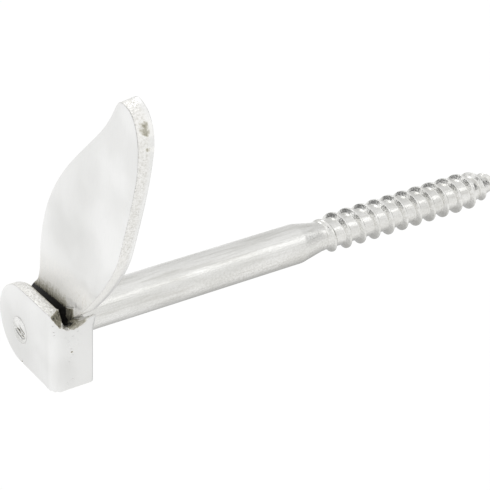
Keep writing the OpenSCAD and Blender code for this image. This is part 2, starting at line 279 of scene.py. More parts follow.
# A profile (x, r) turned round the X axis: peened end, tenon, shoulder and rod, then the thread, whose r also
# depends on the angle. Rows run along x, columns round the axis.
def shankPiece():
    front, tenon, big, tip = rod["frontX"], rod["tenonRadius"], rod["rodRadius"], rod["tipX"]
    crown = np.linspace(0, 1, 30)
    crownR = crown * rod["peenRadius"]
    crownX = front - rod["crownHeight"] * (1 - crown ** 2)
    crownX = crownX + rod["punchDepth"] * np.exp(-(crownR / rod["punchRadius"]) ** 2)
    crownX = crownX + rod["seamDepth"] * np.exp(-((crownR - tenon) / rod["seamWidth"]) ** 2)
    turned = np.array([
        (front + 0.06, rod["peenRadius"]), (front + rod["peenDepth"], tenon), (front + 2.2, tenon),
        (-0.3, tenon), (0.0, tenon + 0.05), (0.0, tenon + 1.2), (0.0, big - 0.35), (0.02, big - 0.2),
        (0.1, big - 0.07), (0.24, big),
    ])
    shaft = np.linspace(0.8, rod["plainLength"] - 0.3, 60)
    rows = np.concatenate([crownX, turned[:, 0], shaft])
    radii = np.concatenate([crownR, turned[:, 1], np.full(len(shaft), big)])
    thread = np.arange(rod["plainLength"], tip - rod["noseRun"], rod["threadStep"])
    nose = tip - rod["noseRun"] * (1 - np.linspace(0, 1, 24)) ** 2
    angles = np.linspace(0, 2 * pi, rod["aroundSteps"], endpoint=False)
    threadX = np.concatenate([thread, nose])[:, None] + 0 * angles
    # rows slide by up to half a step, so that the ridge's corners fall on lines of points
    away = crestDistance(threadX, angles)
    for corner in rod["ridgeCorners"]:
        slide = corner - away
        close = (np.abs(slide) < rod["threadStep"] / 2) & (threadX < tip - rod["noseRun"] - 0.2)
        threadX = threadX + np.where(close, slide, 0)
    x = np.concatenate([rows[:, None] + 0 * angles, threadX])
    radius = np.concatenate([radii[:, None] + 0 * angles, threadRadius(threadX, angles)])
    y, z = radius * np.cos(angles), radius * np.sin(angles)
    stroke = 0 * x
    for (u0, v0), (u1, v1), width, depth in toolStrokes:
        du, dv = u1 - u0, v1 - v0
        along = np.clip(((-y - u0) * du + (z - v0) * dv) / (du ** 2 + dv ** 2), 0, 1)
        gap = np.hypot(-y - u0 - along * du, z - v0 - along * dv)
        mark = np.where(x < front + 0.05, np.exp(-(gap / width) ** 2), 0)
        x = x + depth * mark
        stroke = np.maximum(stroke, mark)
    # painted shade on the tenon where it sits in the fold, and in the tool strokes
    inFold = stretch(x, front + 0.7, front + 1.5, -0.2, 0.02)
    dull = np.maximum(rod["tenonShade"] * inFold, rod["strokeShade"] * smoothStep(stroke, 0.6, 0.95))
    threaded = smoothStep(x, rod["plainLength"] + 4, rod["plainLength"] + 9)
    underneath = smoothStep(-z, -3.5, 1.0)
    below = rod["pittingUnder"] + rod["pittingAtCone"] * smoothStep(x, 12, 50)
    pitted = rod["pitting"] + below * underneath
    pitted = pitted * smoothStep(x, -0.3, 0.3) * (1 + (rod["threadKeeps"] - 1) * threaded)
    pitted = pitted + rod["pittingThread"] * threaded
    return meshObject("shankRod", np.stack([x, y, z], -1).reshape(-1, 3), [gridFaces(*x.shape)], rodSteel, {
        "shadeAndDirtPlate": dull.ravel(), "cutFace": pitted.ravel(), "shadePatchPlate": np.zeros(x.size),
        "glossPlate": threaded.ravel()})


shank = shankPiece()
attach(shank, "shank")
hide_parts("shank")
print("shank made")


sheet = {
    "thickness": 3.5, "backX": -0.08, "gap": 3.2, "strapUp": 11.0, "strapDown": 8.4,
    "wallReach": 15.5, "tabCentreY": -0.3, "tabRadius": 9.7,
    "frontBend": 2.8, "backBend": 0.9, "innerBend": 0.6,
    "leanUp": 12.0, "lean": 4.0, "leanEase": 3.5, "tipTrim": 1.3,
    "tenonHole": 2.58, "sinkRadius": 3.18, "sinkDepth": 1.1,
    # how far the sheared edge is rolled over: leaf, notch and lower hem, front plate, rest of the strap
    "rollLeaf": 0.3, "rollCrisp": 0.1, "rollFront": 1.2, "rollStrap": 0.6,
    # spacing round the outline, easing of its corners and inset rings, room between it and inner points
    "edgeStep": 0.2, "cornerEase": 0.16, "insetEase": 0.75, "profileEase": 1.0, "clearance": 0.16,
}
# stations along the flat blank, from the leaf's root round the two bends to the front plate
blank = {
    "root": 10.6, "rootUp": 6.5, "backIn": 12.6, "backOut": 14.4, "frontIn": 18.3, "frontOut": 21.0,
    "plate": 24.0, "plateY": -9.0, "notchWall": 20.4,
    # middle of the wedge between the leaf and the notch, as (station, up), and where the leaf begins
    "wedge": [(10.6, 6.5), (11.6, 7.25), (12.8, 8.1), (14.5, 9.0), (17.0, 10.5), (20.0, 13.0), (60, 13.0)],
    "leafUp": 9.2,
}


# points along a cubic curve with four control points, about one spacing apart, without its last point
def cubic(p):
    p = np.asarray(p, float)
    length = np.linalg.norm(np.diff(p, axis=0), axis=1).sum()
    t = np.arange(0, 1, sheet["edgeStep"] / length)[:, None]
    return (1 - t) ** 3 * p[0] + 3 * t * (1 - t) ** 2 * p[1] + 3 * t * t * (1 - t) * p[2] + t ** 3 * p[3]


# points along a straight line from a towards b, without its last point
def line(a, b):
    a, b = np.asarray(a, float), np.asarray(b, float)
    t = np.arange(0, 1, sheet["edgeStep"] / np.linalg.norm(b - a))[:, None]
    return a + (b - a) * t


# points round a circle's arc from one angle in degrees towards another, without its last point
def arc(centre, radius, fromAngle, toAngle):
    steps = max(2, int(abs(radians(toAngle - fromAngle)) * radius / sheet["edgeStep"]))
    t = np.radians(np.linspace(fromAngle, toAngle, steps, endpoint=False))
    return np.stack([centre[0] + radius * np.cos(t), centre[1] + radius * np.sin(t)], -1)


# station of a point on the front plate, by its Y
def plateStation(y):
    return blank["plate"] + y - blank["plateY"]


# The flat blank's edge as (station, up), a closed loop that keeps the metal on its right, and which of its
# points are the leaf's. The strap has its notch floor, front plate, round tab, lower edge and round back end;
# the leaf goes up one side and down the other.
def blankOutline():
    up, down, root = sheet["strapUp"], -sheet["strapDown"], (blank["root"], blank["rootUp"])
    tab = (plateStation(sheet["tabCentreY"]), (sheet["strapUp"] - sheet["strapDown"]) / 2)
    strap = [
        cubic([root, (11.6, 7.1), (12.6, 8.05), (13.9, 8.15)]),
        cubic([(13.9, 8.15), (15.0, 8.2), (15.5, 7.2), (17.0, 7.15)]),
        cubic([(17.0, 7.15), (18.4, 7.1), (19.3, 8.6), (blank["notchWall"], up)]),
        line((blank["notchWall"], up), (tab[0], up)),
        arc(tab, sheet["tabRadius"], 90, -90),
        line((tab[0], down), (0.6, down)),
        cubic([(0.6, down), (-4.4, down), (-8.6, -4.4), (-8.6, 0.3)]),
        cubic([(-8.6, 0.3), (-8.6, 4.2), (-6.6, 6.6), (-4.4, 8.7)]),
    ]
    leaf = [
        cubic([(-4.4, 8.7), (-3.5, 9.5), (-2.8, 11.3), (-2.8, 13.5)]),
        cubic([(-2.8, 13.5), (-4.2, 28.7), (1.8, 37.8), (12.0, 48.3)]),
        cubic([(12.0, 48.3), (16.6, 53.3), (21.3, 57.2), (23.8, 63.6)]),
        cubic([(23.8, 63.6), (24.3, 65.0), (25.3, 65.9), (26.8, 65.9)]),
        cubic([(26.8, 65.9), (30.9, 65.6), (34.0, 61.7), (33.8, 56.5)]),
        cubic([(33.8, 56.5), (33.6, 49.5), (31.5, 40.5), (29.3, 31.5)]),
        cubic([(29.3, 31.5), (27.8, 25.4), (22.5, 18.2), (16.6, 11.5)]),
        cubic([(16.6, 11.5), (15.0, 10.0), (12.4, 7.8), root]),
    ]
    loop = np.concatenate(strap + leaf)
    return evenLoop(loop, np.arange(len(loop)) >= sum(len(run) for run in strap))


# the loop again with even spacing, its corners eased by a short moving average
def evenLoop(loop, onLeaf):
    step = sheet["edgeStep"]
    closed = np.vstack([loop, loop[:1]])
    run = np.concatenate([[0], np.cumsum(np.linalg.norm(np.diff(closed, axis=0), axis=1))])
    at = np.linspace(0, run[-1], int(run[-1] / step), endpoint=False)
    even = np.stack([np.interp(at, run, closed[:, i]) for i in (0, 1)], -1)
    onLeaf = np.interp(at, run, np.append(onLeaf, onLeaf[0]).astype(float)) > 0.5
    return circularBlur(even, sheet["cornerEase"] / step), onLeaf


# bell-shaped moving average round a closed loop
def circularBlur(values, sigma):
    half = int(4 * sigma) + 1
    shifts = np.arange(-half, half + 1)
    weights = np.exp(-0.5 * (shifts / sigma) ** 2)
    weights /= weights.sum()
    return sum(weight * np.roll(values, shift, axis=0) for weight, shift in zip(weights, shifts))


# unit vectors out of the metal, to the left of travel, eased so that inset rings don't cross at a corner
def outwardNormals(loop, sigma):
    along = np.roll(loop, -1, axis=0) - np.roll(loop, 1, axis=0)
    along /= np.linalg.norm(along, axis=1)[:, None]
    normal = circularBlur(np.stack([-along[:, 1], along[:, 0]], -1), sigma)
    return normal / np.linalg.norm(normal, axis=1)[:, None]


# inner and outer faces of the folded strap as tables of station, x and y: straight runs and quarter rounds
def pathTables():
    back, t, root, beyond = sheet["backX"], sheet["thickness"], blank["root"], 60
    plate, gap = back - t, back - t - sheet["gap"]
    front, reach, inside = gap - t, -sheet["wallReach"], -sheet["wallReach"] + t
    share = np.linspace(0, 1, 13)
    cosine, sine = np.cos(share * pi / 2), np.sin(share * pi / 2)
    station = [[-beyond, root], blank["backIn"] + (blank["backOut"] - blank["backIn"]) * share,
               blank["frontIn"] + (blank["frontOut"] - blank["frontIn"]) * share,
               [blank["plate"], blank["plate"] + beyond]]
    tables = []
    for nearX, farX, wallY, nearR, farR in ((plate, gap, inside, sheet["innerBend"], sheet["innerBend"]),
                                            (back, front, reach, sheet["backBend"], sheet["frontBend"])):
        x = [[nearX, nearX], nearX - nearR + nearR * cosine, farX + farR - farR * sine, [farX, farX]]
        y = [[beyond, -root], wallY + nearR - nearR * sine, wallY + farR - farR * cosine,
             [blank["plateY"], blank["plateY"] + beyond]]
        tables.append([np.concatenate(runs) for runs in (station, x, y)])
    return tables


innerPath, outerPath = pathTables()


# Flat blank to space. Depth runs 0 to 1 from the gap side of the sheet to its outer side. The strap goes
# round the two bends; the leaf stays in the back plate's plane and leans back with an eased bend.
def fold(station, up, depth, leafSide):
    inX, inY = (np.interp(station, innerPath[0], innerPath[i]) for i in (1, 2))
    outX, outY = (np.interp(station, outerPath[0], outerPath[i]) for i in (1, 2))
    strap = np.stack([inX + (outX - inX) * depth, inY + (outY - inY) * depth, up], -1)
    lean, ease, hinge = radians(sheet["lean"]), sheet["leanEase"], sheet["leanUp"]
    share = np.clip((up - hinge + ease) / (2 * ease), 0, 1)
    angle = lean * share
    back = np.where(up > hinge + ease, up - hinge, ease * share ** 2) * tan(lean)
    t = sheet["thickness"] * depth
    x = sheet["backX"] - sheet["thickness"] + (back + t) * np.cos(angle)
    z = np.where(up > hinge, hinge + (up - hinge) * np.cos(angle), up) - t * np.sin(angle)
    leaf = np.stack([x, -station + 0 * x, z], -1)
    return np.where(np.asarray(leafSide)[..., None], leaf, strap)


# profile of the sheared edge as (inset, depth in mm), from the near face round the edge to the far face:
# one with its far side rolled over, one with both sides crisp
nearSide = [
    (0.70, 0), (0.42, 0), (0.24, 0), (0.13, 0.012), (0.06, 0.05), (0.015, 0.12), (0, 0.22), (0, 0.8),
    (0, 1.4),
]
rolledEdge = np.array(nearSide + [
    (0.01, 1.9), (0.04, 2.25), (0.07, 2.45), (0.12, 2.68), (0.19, 2.88), (0.28, 3.06), (0.40, 3.22),
    (0.54, 3.35), (0.70, 3.44), (0.86, 3.49), (1.0, 3.5),
])
crispEdge = np.array(nearSide + [
    (0, 1.9), (0, 2.4), (0, 2.8), (0, 3.1), (0, 3.28), (0.015, 3.38), (0.06, 3.45), (0.13, 3.488),
    (0.24, 3.5), (0.42, 3.5), (0.70, 3.5),
])
# pits and nicks in the outer face: station, up, radius, depth
pits = np.array([
    (17.0, 5.0, 0.3, 0.2), (17.7, 4.3, 0.2, 0.16), (17.3, 2.1, 0.24, 0.2), (17.0, 0.4, 0.22, 0.18),
    (17.6, -1.1, 0.2, 0.14), (17.1, -5.9, 0.22, 0.15), (16.2, 2.9, 0.2, 0.13), (18.2, 5.6, 0.25, 0.16),
    (15.9, 5.2, 0.22, 0.12), (17.25, 1.3, 0.19, 0.26), (17.4, -0.1, 0.16, 0.13), (17.7, 3.4, 0.22, 0.1),
    (16.3, 4.0, 0.2, 0.11), (17.0, 2.6, 0.14, 0.08), (32.3, -8.25, 0.3, 0.35), (17.9, -6.6, 0.25, 0.12),
    (26.8, -7.7, 0.16, 0.1), (38.6, 8.7, 0.15, 0.08),
])
# deep pits are also darkened, as painted shade in a recess
deepPits = pits[pits[:, 3] > 0.22]
# spots of painted dark reflection on the edge round the tip: station, up, radius, strength
spots = np.array([
    (32.2, 62.4, 1.2, 0.42), (33.1, 60.7, 1.1, 0.5), (34.0, 57.3, 0.8, 0.6), (27.0, 65.9, 1.0, 0.25),
    (30.4, 64.6, 0.8, 0.2),
])
# patches of inner points, as from, to and step along the blank and then up it: coarse on the flats, close in
# the bends, at the leaf's root, in the notch and in the fold behind the rivet
patches = [
    (-9, 10.7, 1.0, -8, 11, 1.0), (24.7, 43, 1.0, -8, 11, 1.0), (10.8, 24.4, 0.3, -8.2, 11, 0.8),
    (-8, 34, 1.05, 11.6, 65, 1.05), (9.2, 14.4, 0.2, 6.6, 11.4, 0.2), (12.5, 20.5, 0.3, 4.5, 8.0, 0.3),
    (-8, 10, 0.5, 7.6, 12.0, 0.45),
]
pitRings = (0.4, 0.8, 1.2, 1.7, 2.3)  # rings of points round a pit, in its radii


# even-odd test of points against a loop: inside, a ray to the right crosses its edges an odd number of times
def insidePolygon(points, loop):
    x, y = points[:, 0:1], points[:, 1:2]
    x0, y0 = loop[:, 0], loop[:, 1]
    x1, y1 = np.roll(x0, -1), np.roll(y0, -1)
    crosses = ((y0 > y) != (y1 > y)) & (x < (x1 - x0) * (y - y0) / np.where(y1 == y0, 1, y1 - y0) + x0)
    return crosses.sum(1) % 2 == 1


# inside the first loop and outside the holes
def inMetal(points, loops):
    inHoles = [insidePolygon(points, hole) for hole in loops[1:]]
    return insidePolygon(points, loops[0]) & ~np.any(inHoles, axis=0)


# true above the middle of the wedge between the leaf's lower edge and the notch
def leafSideOf(flat):
    a, z = flat[..., 0], flat[..., 1]
    return z > np.where(a > blank["root"], tableValue(blank["wedge"], a), blank["leafUp"])


# triangles between a loop and its holes over scattered inner points
def fillFace(loops, grid):
    boundary = np.concatenate(loops)
    inner = grid[inMetal(grid, loops)]
    away = np.hypot(inner[:, None, 0] - boundary[None, :, 0], inner[:, None, 1] - boundary[None, :, 1]).min(1)
    inner = inner[away > sheet["clearance"]]
    edges, start = [], 0
    for loop in loops:
        own = start + np.arange(len(loop))
        edges += np.stack([own, np.roll(own, -1)], -1).tolist()
        start += len(loop)
    flat = [Vector(p) for p in np.concatenate([boundary, inner]).tolist()]
    verts, _, faces, _, _, _ = delaunay_2d_cdt(flat, edges, [], 2, 1e-6)
    verts, faces = np.array([v[:] for v in verts]), np.array(faces)
    return verts, faces[inMetal(verts[faces].mean(1), loops)]


# inner points of the two faces: the patches as even grids, and rings round each pit
def meshGrid():
    blocks = []
    for fromA, toA, stepA, fromZ, toZ, stepZ in patches:
        rows = np.meshgrid(np.arange(fromA, toA, stepA), np.arange(fromZ, toZ, stepZ), indexing="ij")
        blocks.append(np.stack(rows, -1).reshape(-1, 2))
    around = np.linspace(0, 2 * pi, 12, endpoint=False)
    ring = np.stack([np.cos(around), np.sin(around)], -1)
    for a, z, radius, _ in pits:
        blocks.append(np.concatenate([[(a, z)]] + [(a, z) + share * radius * ring for share in pitRings]))
    return np.concatenate(blocks)


# sum of bells over the flat blank, each its strength times exp(-(distance / radius)^2)
def bells(a, z, table):
    apart = np.hypot(a[..., None] - table[:, 0], z[..., None] - table[:, 1]) / table[:, 2]
    return (table[:, 3] * np.exp(-apart ** 2)).sum(-1)


# height of the burr line on the back plate's gap side, where the relief tore; below it the metal stands proud
def tearLine(a):
    return 9.2 + (a - 10.0) * 0.43


# Wear that changes the form. Along, Up and Down are stretches of the blank in mm over which it sets in and
# ends, Deep is the same through the sheet, 0 at the gap side and 1 at the outer side, the rest is in mm.
wear = {
    "notchAlong": (10.9, 13.0, 17.2, 19.4), "notchUp": (0.5, 7.0), "notchDrop": 1.05,
    "tornAlong": (12.5, 13.5, 20.6, 21.6), "tornUp": (3.5, 6.5),
    "tornRipples": [(0.1, 5.3, 0, 4), (0.09, 11.9, 2, 9), (0.06, 23, 0, 17)],
    # corner at the back bend, drawn up and outwards
    "cornerAlong": (12.2, 13.6, 14.6, 16.2), "cornerUp": (5.0, 7.6), "cornerDeep": (0.35, 1.0),
    "cornerRise": 1.35, "cornerOut": 0.45,
    # burr that hangs from the lower edge at the front bend
    "burrAlong": (18.0, 19.0, 21.0, 22.0), "burrDown": (7.6, 8.3), "burrDeep": (0.5, 0.95),
    "burrSag": 0.13, "burrRipples": [(0.09, 7.7, 0, 0), (0.06, 15.1, 1, 0)],
    # lip below the burr line
    "lipAlong": (9.4, 10.4, 12.8, 13.6), "lipUnder": (-0.1, 0.12), "lipUp": (6.5, 7.4), "lipDeep": (0.0, 0.3),
    "lip": 0.2,
    "pitDeep": (0.9, 0.99),
}


# sum of sines along the blank, from a table of height, radians per mm, start and its shift through the sheet
def ripples(table, a, depth):
    return sum(height * np.sin(a * perMm + start + depth * deep) for height, perMm, start, deep in table)


# flat blank with its wear, folded: the notch floor drops to the inside, pits sink, the torn lip stands proud
def placeSheet(flat, depth, leafSide):
    a, z = flat[..., 0], flat[..., 1]
    notch = stretch(a, *wear["notchAlong"]) * smoothStep(z, *wear["notchUp"]) * (1 - depth) * ~leafSide
    torn = stretch(a, *wear["tornAlong"]) * smoothStep(z, *wear["tornUp"]) * ~leafSide
    corner = stretch(a, *wear["cornerAlong"]) * smoothStep(z, *wear["cornerUp"]) * ~leafSide
    corner = corner * smoothStep(depth, *wear["cornerDeep"])
    burr = stretch(a, *wear["burrAlong"]) * smoothStep(-z, *wear["burrDown"])
    burr = burr * smoothStep(depth, *wear["burrDeep"])
    sag = wear["burrSag"] + ripples(wear["burrRipples"], a, depth)
    z = z - wear["notchDrop"] * notch + torn * ripples(wear["tornRipples"], a, depth) - burr * sag
    z = z + wear["cornerRise"] * corner
    sunk = bells(a, z, pits) * smoothStep(depth, *wear["pitDeep"])
    lip = wear["lip"] * stretch(a, *wear["lipAlong"]) * (1 - smoothStep(z - tearLine(a), *wear["lipUnder"]))
    lip = lip * smoothStep(z, *wear["lipUp"]) * (1 - smoothStep(depth, *wear["lipDeep"]))
    lip = lip * (leafSide | (a < blank["backIn"]))
    return fold(a, z, depth + (wear["cornerOut"] * corner - sunk - lip) / sheet["thickness"], leafSide)


# Painted shade and dirt, 0 clean to 1 dark. Tables are (place, dullness) pairs, the rest is as above.
shadeAndDirt = {
    "innerDeep": (0.02, 0.25),  # how far the painted shade of the fold goes round an edge
    # back plate: painted shade by height, fading to painted light as a pale film, less far up at the open end
    "backPlate": [(8.2, 1.8), (8.7, 0.72), (9.3, 0.46), (10.0, 0.34), (11.0, 0.23), (12.3, 0.15),
                  (14.3, 0.13), (17.0, 0.11), (21.0, 0)],
    "openEnd": [(-8.5, 1.5), (2.0, 0.5), (9.0, 0)],
    # a thin pale film on the leaf beyond the back bend
    "bendAlong": (11.5, 13.6), "bendUp": (14.5, 20), "bend": 0.17,
    # burr line: the burr itself nearly clear, painted shade below it, less painted shade above it
    "burrAcross": [(0, 0.05), (0.16, 0.1), (0.3, 1)], "burrMiddle": 0.1, "burrFrom": 9.3, "burrTo": 12.6,
    "shadeBelowFrom": 9.0, "shadeBelowUnder": (-0.2, 0.0), "shadeBelowEnd": (12.0, 13.4), "shadeBelow": 0.68,
    "aboveAlong": (8.8, 9.8), "aboveUp": 12, "aboveKeeps": 0.65,
    # gap sides of the front plate and the side wall: painted shade, darkest low down
    "frontPlate": [(5.5, 1.5), (7.0, 0.7), (8.2, 0.3), (9.2, 0.15), (11.0, 0.13)],
    "sideWallUp": (5.5, 7.0), "sideWall": (1.6, 0.6),
    # painted shade on the torn floor of the notch: by station, dark at its inner end, lighter at its outer
    # end
    "floorUp": 5,
    "floor": [(11.0, 0), (11.8, 0.13), (14.7, 0.13), (15.3, 0.5), (17.4, 0.5), (17.7, 0.03), (18.6, 0.03),
              (19.0, 0.6), (20.2, 0.75), (20.45, 0)],
    "floorInAlong": (12.6, 13.6, 17.2, 17.6), "floorInDeep": (0.3, 0.5), "floorIn": 0.45,
    "floorOutAlong": (15.0, 17.6), "floorOutDeep": (0.5, 0.7), "floorOut": 0.12,
    # gap side of the front plate's upper edge, lower edge at the front bend, leaf's edge near its root
    # the hem is darkened as a painted dark reflection
    "hemAlong": (20.4, 20.8), "hemUp": (8, 10), "hemDeep": (0.004, 0.02, 0.2, 0.27), "hem": 0.34,
    "underAlong": (18.6, 19.6, 23.0, 25.0), "underDown": (7.0, 8.0), "under": 0.32, "underPerMm": 8,
    "footUp": (26, 40), "foot": 0.12,
    # painted dark reflection in spots round the tip, with a ragged rim
    "spotCore": (0.14, 0.4), "spot": 0.47, "spotRim": (0.05, 0.2), "spotRipple": (0.1, 9, 0, 14),
    # painted shade in the deep pits
    "pitShade": 3.2,
}


# painted shade on the gap sides of the back plate, the front plate and the side wall, fading to a pale film
def gapSideShade(a, z, depth, leafSide):
    bend = smoothStep(a, *shadeAndDirt["bendAlong"])
    above = z - tearLine(a)
    shadeBelow = 1 - smoothStep(above, *shadeAndDirt["shadeBelowUnder"])
    upper = smoothStep(a, *shadeAndDirt["aboveAlong"]) * (1 - shadeBelow) * (z < shadeAndDirt["aboveUp"])
    shadeBelow = shadeBelow * (1 - smoothStep(a, *shadeAndDirt["shadeBelowEnd"]))
    backPlate = tableValue(shadeAndDirt["backPlate"], z + tableValue(shadeAndDirt["openEnd"], a)) * (1 - bend)
    backPlate = backPlate + shadeAndDirt["bend"] * bend * (1 - smoothStep(z, *shadeAndDirt["bendUp"]))
    burr = tableValue(shadeAndDirt["burrAcross"], np.abs(above - shadeAndDirt["burrMiddle"]))
    backPlate = backPlate * np.where((a > shadeAndDirt["burrFrom"]) & (a < shadeAndDirt["burrTo"]), burr, 1)
    shadedBelow = np.maximum(backPlate * (1 - shadeBelow), shadeAndDirt["shadeBelow"] * shadeBelow)
    backPlate = np.where(a > shadeAndDirt["shadeBelowFrom"], shadedBelow, backPlate) * (1 + (shadeAndDirt["aboveKeeps"] - 1) * upper)
    low, high = shadeAndDirt["sideWall"]
    sideWall = low + (high - low) * smoothStep(z, *shadeAndDirt["sideWallUp"])
    folded = np.where(a > blank["frontOut"], tableValue(shadeAndDirt["frontPlate"], z), sideWall)
    face = np.where(leafSide | (a < blank["backIn"]), backPlate, folded)
    return face * (1 - smoothStep(depth, *shadeAndDirt["innerDeep"]))


# painted shade and dirt on the sheared edges: notch floor, front plate's hem, lower edge, leaf's foot and tip
def edgeShadeAndDirt(a, z, depth, leafSide, edge):
    inner = stretch(a, *shadeAndDirt["floorInAlong"]) * (1 - smoothStep(depth, *shadeAndDirt["floorInDeep"]))
    floor = tableValue(shadeAndDirt["floor"], a) + shadeAndDirt["floorIn"] * inner
    outer = (a > shadeAndDirt["floorOutAlong"][0]) & (a < shadeAndDirt["floorOutAlong"][1])
    floor = floor - shadeAndDirt["floorOut"] * outer * smoothStep(depth, *shadeAndDirt["floorOutDeep"])
    floor = floor * edge * ~leafSide * (z > shadeAndDirt["floorUp"])
    hem = shadeAndDirt["hem"] * smoothStep(a, *shadeAndDirt["hemAlong"]) * smoothStep(z, *shadeAndDirt["hemUp"])
    hem = hem * stretch(depth, *shadeAndDirt["hemDeep"]) * ~leafSide
    under = shadeAndDirt["under"] * edge * stretch(a, *shadeAndDirt["underAlong"]) * smoothStep(-z, *shadeAndDirt["underDown"])
    under = under * (1 + np.sin(a * shadeAndDirt["underPerMm"]))
    nearSpots = bells(a, z, spots)
    spot = shadeAndDirt["spot"] * smoothStep(nearSpots, *shadeAndDirt["spotCore"])
    spot = spot + ripples([shadeAndDirt["spotRipple"]], a, depth) * smoothStep(nearSpots, *shadeAndDirt["spotRim"])
    foot = shadeAndDirt["foot"] * leafSide * (1 - smoothStep(z, *shadeAndDirt["footUp"]))
    return np.maximum(floor + hem + under, edge * (spot + foot))


# painted shade in the fold, in the torn notch and in deep pits, painted reflections and marks at the edges
def shadeAndDirtLevel(flat, depth, leafSide, edge):
    a, z = flat[..., 0], flat[..., 1]
    dull = np.maximum(gapSideShade(a, z, depth, leafSide), edgeShadeAndDirt(a, z, depth, leafSide, edge))
    return dull + shadeAndDirt["pitShade"] * bells(a, z, deepPits) * smoothStep(depth, *wear["pitDeep"])


# darker patches: centre along and up, and spread along and up, on the leaf and round the rivet
shadePatchAt = {
    "leaf": (9.0, 27.0, 8.0, 15.0), "leafSlope": 0.25, "rivet": (plateStation(-0.5), 1.0, 6.5, 8.0),
    # painted shade on the side wall, along these stations
    "plateFrom": 23, "wallAlong": (12.4, 14.4, 17.5, 20.5), "wall": 0.95,
}


# darker patches on the leaf and round the rivet and painted shade on the side wall, 0 to 1: two bells and a
# stretch
def shadePatches(flat, leafSide):
    a, z = flat[..., 0], flat[..., 1]
    atA, atZ, wide, high = shadePatchAt["leaf"]
    leaf = np.exp(-((a - atA - shadePatchAt["leafSlope"] * (z - atZ)) / wide) ** 2 - ((z - atZ) / high) ** 2)
    atA, atZ, wide, high = shadePatchAt["rivet"]
    rivet = np.exp(-((a - atA) / wide) ** 2 - ((z - atZ) / high) ** 2) * (a > shadePatchAt["plateFrom"])
    wall = shadePatchAt["wall"] * stretch(a, *shadePatchAt["wallAlong"])
    return np.where(leafSide, leaf, np.maximum(rivet, wall))


# edge profile at each point of the outline: between crisp and rolled over, and slanted round the trimmed tip
def outlineProfiles(loop, onLeaf):
    a, z = loop[:, 0], loop[:, 1]
    t, ease = sheet["thickness"], sheet["profileEase"] / sheet["edgeStep"]
    notch, lowerHem = (a > 11) & (a < 20.2), (z < -7) & (a > 11) & (a < 26)
    strapRoll = np.where(a > 20, sheet["rollFront"], sheet["rollStrap"])
    strapRoll = np.where(notch | lowerHem, sheet["rollCrisp"], strapRoll)
    roll = circularBlur(np.where(onLeaf, sheet["rollLeaf"], strapRoll), ease)[:, None, None]
    # the tip was trimmed at a slant, so the near face is smaller there
    tip = smoothStep(a, 23.5, 25.5) * smoothStep(z, 50, 62) * onLeaf
    trim = circularBlur(tip, ease)[:, None] * sheet["tipTrim"]
    # the rolled-over side is the outer one on the leaf and the back plate, the gap side on the front plate
    swap = (smoothStep(a, 17.5, 19.5) * ~onLeaf)[:, None, None]
    outerRoll = crispEdge + (rolledEdge - crispEdge) * roll
    gapRoll = outerRoll[:, ::-1] * [1, -1] + [0, t]
    profile = outerRoll + (gapRoll - outerRoll) * swap
    profile[..., 0] += trim * (1 - profile[..., 1] / t)
    return profile


# the tenon's two holes as rings with normals out of the metal and edge profiles: plain behind, sunk in front
def holeBands():
    around = np.linspace(0, 2 * pi, 72, endpoint=False)
    ring = np.stack([np.cos(around), np.sin(around)], -1)
    hole, t, depth = sheet["tenonHole"], sheet["thickness"], sheet["sinkDepth"]
    sink = sheet["sinkRadius"] - hole
    nearRim = [(0.35, 0), (0.12, 0.01), (0.03, 0.05), (0, 0.15)]
    plain = nearRim + [(0, 1.7), (0, t - 0.15), (0.03, t - 0.05), (0.12, t - 0.01), (0.35, t)]
    sinkRim = [(sink * 0.5, t - depth / 2), (sink - 0.02, t - 0.04), (sink + 0.3, t)]
    sunk = nearRim + [(0, 1.2), (0, t - depth)] + sinkRim
    count = len(ring)
    return [(ring * hole + (station, 0.0), -ring, np.zeros(count, bool), np.tile(profile, (count, 1, 1)))
            for station, profile in ((0.0, plain), (plateStation(0.0), sunk))]


# The sheet's edge bands and its two faces, made flat and then folded. An edge band is a profile carried round
# a loop: each of its points is the loop's point less its inset times the outward normal.
def headPiece():
    layers, faces, rims, start = [], [], [], 0
    loop, onLeaf = blankOutline()
    normals = outwardNormals(loop, sheet["insetEase"] / sheet["edgeStep"])
    bands = [(loop, normals, onLeaf, outlineProfiles(loop, onLeaf))] + holeBands()
    for path, outward, side, profile in bands:
        inset, depth = profile[..., 0], profile[..., 1] / sheet["thickness"]
        flat = path[:, None] - outward[:, None] * inset[..., None]
        side = np.repeat(side[:, None], inset.shape[1], 1)
        edge = 1 - smoothStep(np.minimum(depth, 1 - depth), 0.03, 0.0)
        # the leaf's edge is burnished at the back
        edge = edge * (1 - side * (0.1 + 0.65 * smoothStep(depth, 0.6, 0.75)))
        layers.append((flat, depth, side, edge))
        faces.append(gridFaces(*inset.shape, wrapRows=True, wrapColumns=False, start=start))
        rims.append((flat[:, 0], flat[:, -1]))
        start += inset.size
    grid = meshGrid()
    for face in (0, 1):  # gap side, outer side
        flat, triangles = fillFace([rim[face] for rim in rims], grid)
        side = leafSideOf(flat)
        side[:len(loop)] = onLeaf
        layers.append((flat, np.full(len(flat), float(face)), side, np.zeros(len(flat))))
        faces.append(triangles + start)
        start += len(flat)
    points = [placeSheet(flat, depth, side).reshape(-1, 3) for flat, depth, side, _ in layers]
    return meshObject("foldedHead", np.concatenate(points), faces, sheetSteel, {
        "shadeAndDirtPlate": np.concatenate([shadeAndDirtLevel(*layer).ravel() for layer in layers]),
        "cutFace": np.concatenate([edge.ravel() for _, _, _, edge in layers]),
        "shadePatchPlate": np.concatenate([shadePatches(flat, side).ravel() for flat, _, side, _ in layers]),
        "glossPlate": np.zeros(start)})


head = headPiece()
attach(head, "head")
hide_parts("head")
print("head made")


